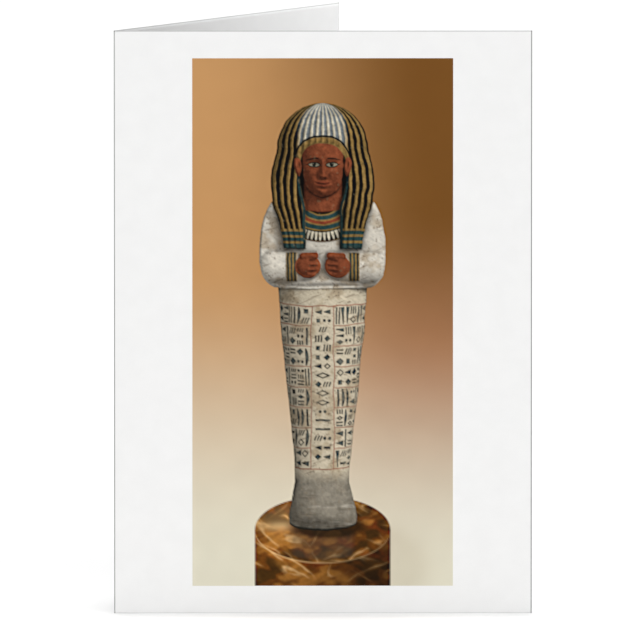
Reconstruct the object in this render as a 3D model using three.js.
// Folded greeting card, standing half open on its lower edges.
// It is one sheet of white card, scored down the middle and folded once. The fold is upright at the
// left. The front leaf, whose outside carries the printed picture, faces -Y, and the back leaf stands
// open behind it. The two leaves are separate solids because the back one turns about the fold.
// Millimetres, +Z up. The origin is the middle of the footprint, on the surface that the card stands on.

import * as THREE from 'three';

// Sheet: a 5 by 7 inch card in heavy stock
const LEAF_WIDTH = 127;     // outside of the fold to the free edge
const LEAF_HEIGHT = 177.8;  // along the fold
const STOCK = 0.4;          // thickness of the card

// Fold
const OPENING_DEG = 57;      // angle between the leaves as the card stands
const SHUT_GAP = 0.3;        // left between the inside faces when the card is shut
const FOLD_CLEARANCE = 0.3;  // left between the rounded fold and the back leaf
const FOLD_SEGMENTS = 32;    // sides of the rounded fold

// The shut card is this thick from its middle plane to either outside face, and the fold is rounded
// to the same radius about the line that the back leaf turns on.
const FOLD_RADIUS = STOCK + SHUT_GAP / 2;
const FREE_EDGE = LEAF_WIDTH - FOLD_RADIUS;  // from the fold's axis to each leaf's free edge

const cardStock = (name) => new THREE.MeshStandardMaterial({
  name,
  color: '#f1f0ee',
  roughness: 0.8,
  metalness: 0,
});

// A piece of the sheet: a plan outline carried up the whole height of the card.
function upright(outline) {
  return new THREE.ExtrudeGeometry(outline, {
    depth: LEAF_HEIGHT,
    bevelEnabled: false,
    curveSegments: FOLD_SEGMENTS,
  });
}

// Front leaf with the rounded fold along its left edge. In plan the fold's axis is at (0, 0).
function frontLeaf() {
  const insideFace = -SHUT_GAP / 2;
  const meetsFold = Math.sqrt(FOLD_RADIUS ** 2 - insideFace ** 2);
  const outline = new THREE.Shape();
  outline.moveTo(0, -FOLD_RADIUS);
  outline.lineTo(FREE_EDGE, -FOLD_RADIUS);
  outline.lineTo(FREE_EDGE, insideFace);
  outline.lineTo(meetsFold, insideFace);
  outline.absarc(0, 0, FOLD_RADIUS, Math.atan2(insideFace, meetsFold), 1.5 * Math.PI, false);

  const leaf = new THREE.Mesh(upright(outline), cardStock('front card'));
  leaf.name = 'front_leaf';
  return leaf;
}

// Back leaf, drawn as it lies when the card is shut: along +X, behind the front leaf.
function backLeaf() {
  const start = FOLD_RADIUS + FOLD_CLEARANCE;
  const insideFace = SHUT_GAP / 2;
  const outline = new THREE.Shape();
  outline.moveTo(start, insideFace);
  outline.lineTo(FREE_EDGE, insideFace);
  outline.lineTo(FREE_EDGE, FOLD_RADIUS);
  outline.lineTo(start, FOLD_RADIUS);
  outline.closePath();

  const leaf = new THREE.Mesh(upright(outline), cardStock('back card'));
  leaf.name = 'back_leaf';
  return leaf;
}

// The fold's axis is this group's own Z axis, so turning the group opens and shuts the back leaf.
function openedBackLeaf() {
  const fold = new THREE.Group();
  fold.rotation.z = THREE.MathUtils.degToRad(OPENING_DEG);
  fold.add(backLeaf());
  return fold;
}

// Moves the card so that the middle of its footprint is on the Z axis.
function centred(card) {
  const middle = new THREE.Box3().setFromObject(card, true).getCenter(new THREE.Vector3());
  card.position.set(-middle.x, -middle.y, 0);
  return card;
}

const card = new THREE.Group();
card.name = 'greeting_card';
card.add(frontLeaf(), openedBackLeaf());

const part = new THREE.Group();
part.add(centred(card));

export default part;
